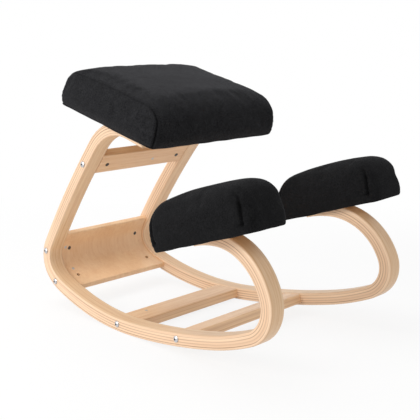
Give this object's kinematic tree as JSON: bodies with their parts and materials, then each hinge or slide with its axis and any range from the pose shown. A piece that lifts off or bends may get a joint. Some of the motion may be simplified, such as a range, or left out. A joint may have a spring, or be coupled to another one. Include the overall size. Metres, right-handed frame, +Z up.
{
  "type": "kneeling chair",
  "caption": "Rocking kneeling chair: bent laminated wood runners joined by crossbars and a rear panel, with a tilted seat cushion and separate shin pads.",
  "frame": {"origin": "centre of the chair's bounding box at floor level, under the runners", "axes": "+Z up, the sitter's knees towards -Y, +X towards the runner on the sitter's left hand"},
  "size_m": [0.5084, 0.7282, 0.5617],
  "materials": {
    "runner_wood": "satin",
    "bar_wood": "satin",
    "panel_wood": "satin",
    "dowel_wood": "matte",
    "board_wood": "matte",
    "bolt_chrome": "polished",
    "nut_steel": "satin",
    "plug_steel": "satin",
    "screw_steel": "satin",
    "foam": "matte",
    "seat_fabric": "matte",
    "shin_fabric": "matte"
  },
  "bodies": {
    "root": {"runner_left": "runner_wood", "runner_right": "runner_wood", "crossbar_upper": "bar_wood", "crossbar_middle": "bar_wood", "crossbar_front": "bar_wood", "rear_panel": "panel_wood", "frame_bolts": "bolt_chrome", "barrel_nuts": "nut_steel", "dowels": "dowel_wood", "steel_plugs": "plug_steel", "seat_screws": "screw_steel", "shin_screws": "screw_steel", "seat_board": "board_wood", "seat_foam": "foam", "seat_cover": "seat_fabric", "seat_tee_nuts": "nut_steel", "shin_board_left": "board_wood", "shin_foam_left": "foam", "shin_cover_left": "shin_fabric", "shin_board_right": "board_wood", "shin_foam_right": "foam", "shin_cover_right": "shin_fabric", "shin_tee_nuts": "nut_steel"}
  },
  "joints": []
}
